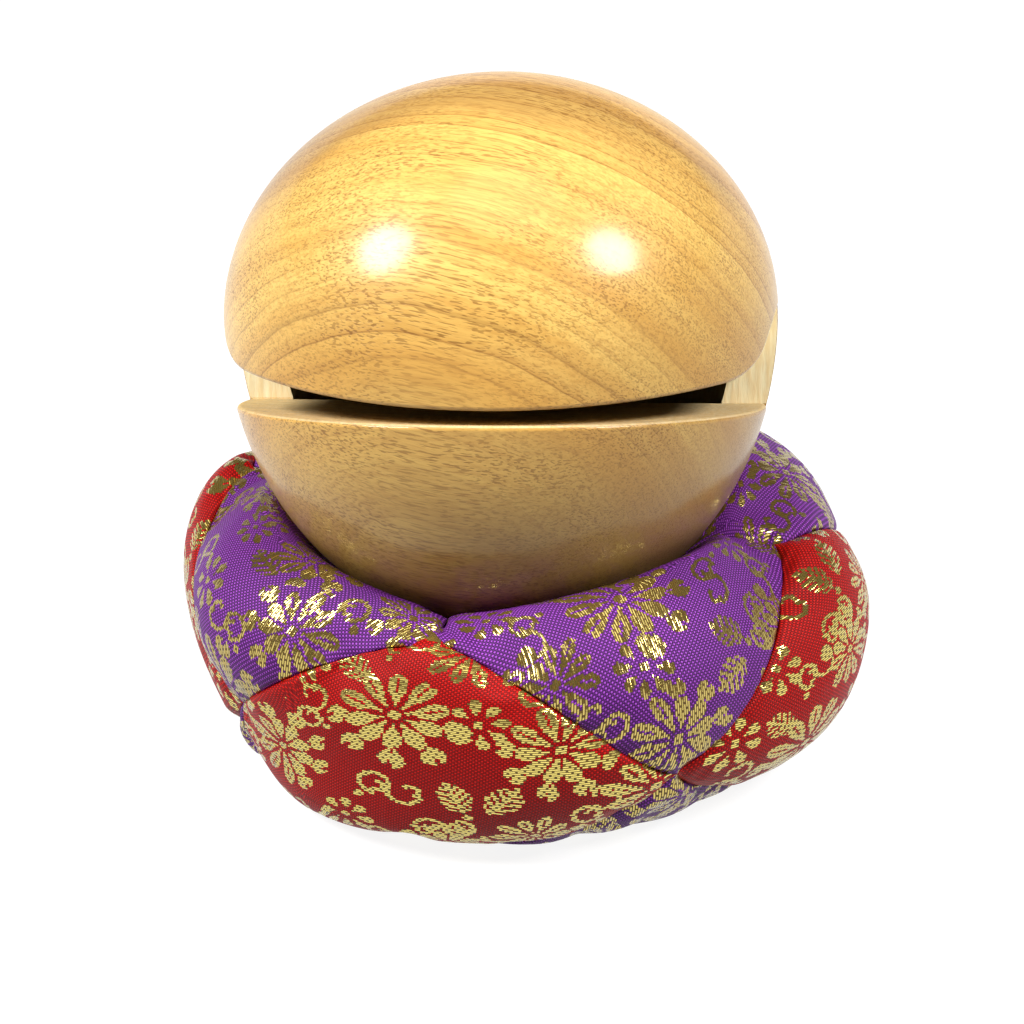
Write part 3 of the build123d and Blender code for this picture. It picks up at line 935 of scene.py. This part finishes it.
def make_patch(name, points, flat, cut, material):
    """One patch as a sheet of cloth, with its weave laid out from where it is cut."""
    faces = grid_faces(points.shape[0], outward_flip(points))
    thing = new_mesh_object(name, points.reshape(-1, 3), faces)
    layer = thing.data.uv_layers.new(name="cloth")
    corner = np.zeros(len(thing.data.loops), dtype=np.int32)
    thing.data.loops.foreach_get("vertex_index", corner)
    spread = (flat.reshape(-1, 2) + np.array(cut)) * UV_PER_MM
    layer.data.foreach_set("uv", spread[corner].ravel())
    smooth = thing.modifiers.new("smooth", "SUBSURF")
    smooth.levels = 1
    smooth.render_levels = 1
    smooth.boundary_smooth = "PRESERVE_CORNERS"
    thick = thing.modifiers.new("thick", "SOLIDIFY")
    thick.thickness = CLOTH * 0.001
    thick.offset = -1
    thing.data.materials.append(material)
    bake_modifiers(thing)
    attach(thing, "cushion")
    return thing


def make_stuffing(grids, material):
    """The wadding: one closed form just inside the cloth."""
    coarse = [points[::2, ::2] for points, flat in grids.values()]
    n = coarse[0].shape[0]
    points, number = weld_grids(coarse)
    faces = []
    for place, grid in enumerate(coarse):
        own = number[place * n * n:(place + 1) * n * n]
        faces.append(own[grid_faces(n, outward_flip(grid))])
    thing = new_mesh_object("wadding", points + inward(points) * WADDING_INSET, np.concatenate(faces))
    thing.data.materials.append(material)
    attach(thing, "cushion")
    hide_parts("cushion_stuffing")


# Where each patch is cut from the cloth, in millimetres
CUTS = {
    "side": [(0, 0), (18, 26), (-22, 14), (-9, -30)],
    "top": [(-11, 10), (20, -8), (7, 33), (30, 22)],
    "base": [(12, 4), (-31, 9), (25, 21), (-4, -13)],
}
weave = brocade_group()
purple = brocade_material("purple_brocade", weave, PURPLE_CREST, PURPLE_GAP_SHADE, PURPLE_GILT_SHADED)
red = brocade_material("red_brocade", weave, RED_CREST, RED_GAP_SHADE, RED_GILT)
cloth = cloth_grids()
for (kind, number), (points, flat) in cloth.items():
    node = f"{kind}_patch_{number + 1}"
    piece = make_patch(f"cloth_{node}", points, flat, CUTS[kind][number], red if kind == "side" else purple)
    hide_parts(node)
    "red_brocade" if kind == "side" else "purple_brocade"
make_stuffing(cloth, wadding_material())


def dress(node, material):
    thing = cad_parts[node]
    thing.data.materials.clear()
    thing.data.materials.append(material)


dress("fish_body", wood_material())
dress("centre_tie", thread_material())


# Floor, lamps and camera

# A wide round floor in metres, with a low rim far off that closes the view to the sides
FLOOR_RADIUS = 6.0
FLOOR_LEVEL = -0.0002
FLOOR_SIDES = 96
RIM_HEIGHT = 1.4
FLOOR_GLOW = 0.88


def make_floor():
    turns = np.linspace(0, 2 * math.pi, FLOOR_SIDES, endpoint=False)
    ring = np.stack([np.cos(turns), np.sin(turns)], -1) * FLOOR_RADIUS
    level = [(x, y, FLOOR_LEVEL) for x, y in ring.tolist()]
    rim = [(x, y, RIM_HEIGHT) for x, y in ring.tolist()]
    after = [(i + 1) % FLOOR_SIDES for i in range(FLOOR_SIDES)]
    wall = [(j, i, i + FLOOR_SIDES, j + FLOOR_SIDES) for i, j in enumerate(after)]
    mesh = bpy.data.meshes.new("floor")
    mesh.from_pydata(level + rim, [], [tuple(range(FLOOR_SIDES))] + wall)
    floor = bpy.data.objects.new("floor", mesh)
    bpy.context.scene.collection.objects.link(floor)
    material, tree, shader = new_material("pale_floor")
    shader.inputs["Base Color"].default_value = (0.20, 0.20, 0.20, 1)
    shader.inputs["Roughness"].default_value = 0.9
    shader.inputs["Emission Color"].default_value = (1, 1, 1, 1)
    ray = tree.nodes.new("ShaderNodeLightPath")
    seen = Flow(tree, ray.outputs["Is Camera Ray"]).most(Flow(tree, ray.outputs["Is Glossy Ray"]))
    seen = seen.most(Flow(tree, ray.outputs["Is Transmission Ray"]))
    plug(tree, seen * FLOOR_GLOW, shader.inputs["Emission Strength"])
    floor.data.materials.append(material)


def make_lamp(name, azimuth, elevation, distance, size, power):
    """A soft round lamp that faces the fish, at degrees round from the front and above the floor."""
    light = bpy.data.lights.new(name, "AREA")
    light.shape = "DISK"
    light.size = size
    light.energy = power
    lamp = bpy.data.objects.new(name, light)
    bpy.context.scene.collection.objects.link(lamp)
    turn = math.radians(azimuth)
    rise = math.radians(elevation)
    aim = Vector((0, 0, 0.1))
    away = Vector((math.cos(rise) * math.sin(turn), -math.cos(rise) * math.cos(turn), math.sin(rise)))
    lamp.location = aim + away * distance
    lamp.rotation_euler = away.to_track_quat("Z", "Y").to_euler()


make_floor()
make_lamp("lamp_left", azimuth=-68, elevation=43, distance=1.1, size=0.40, power=14.4)
make_lamp("lamp_right", azimuth=63, elevation=43, distance=1.1, size=0.38, power=12.6)
make_lamp("lamp_over", azimuth=10, elevation=82, distance=1.3, size=0.9, power=4.2)

world = bpy.data.worlds.new("studio")
bpy.context.scene.world = world
world.use_nodes = True
background = world.node_tree.nodes["Background"]
background.inputs["Color"].default_value = (1.0, 0.84, 0.66, 1)
background.inputs["Strength"].default_value = 0.04

# The camera, as fitted to the photograph
SENSOR_WIDTH = 36.0  # millimetres
FRAME_WIDTH = 1024  # pixels
FOCAL_LENGTH = 2640  # pixels
AIM_RISE = 10.7  # pixels
CAMERA_AWAY = 0.6  # metres
AIM_HEIGHT = 0.05  # metres
LOOK_DOWN = 26.7  # degrees

camera_data = bpy.data.cameras.new("camera")
camera_data.sensor_width = SENSOR_WIDTH
camera_data.lens = SENSOR_WIDTH * FOCAL_LENGTH / FRAME_WIDTH
camera_data.clip_start = 0.01
camera = bpy.data.objects.new("camera", camera_data)
bpy.context.scene.collection.objects.link(camera)
sight = math.radians(LOOK_DOWN)
camera.location = (0, -CAMERA_AWAY * math.cos(sight), AIM_HEIGHT + CAMERA_AWAY * math.sin(sight))
camera.rotation_euler = (math.pi / 2 - (sight - AIM_RISE / FOCAL_LENGTH), 0, 0)
bpy.context.scene.camera = camera
bpy.context.scene.view_settings.view_transform = "Standard"
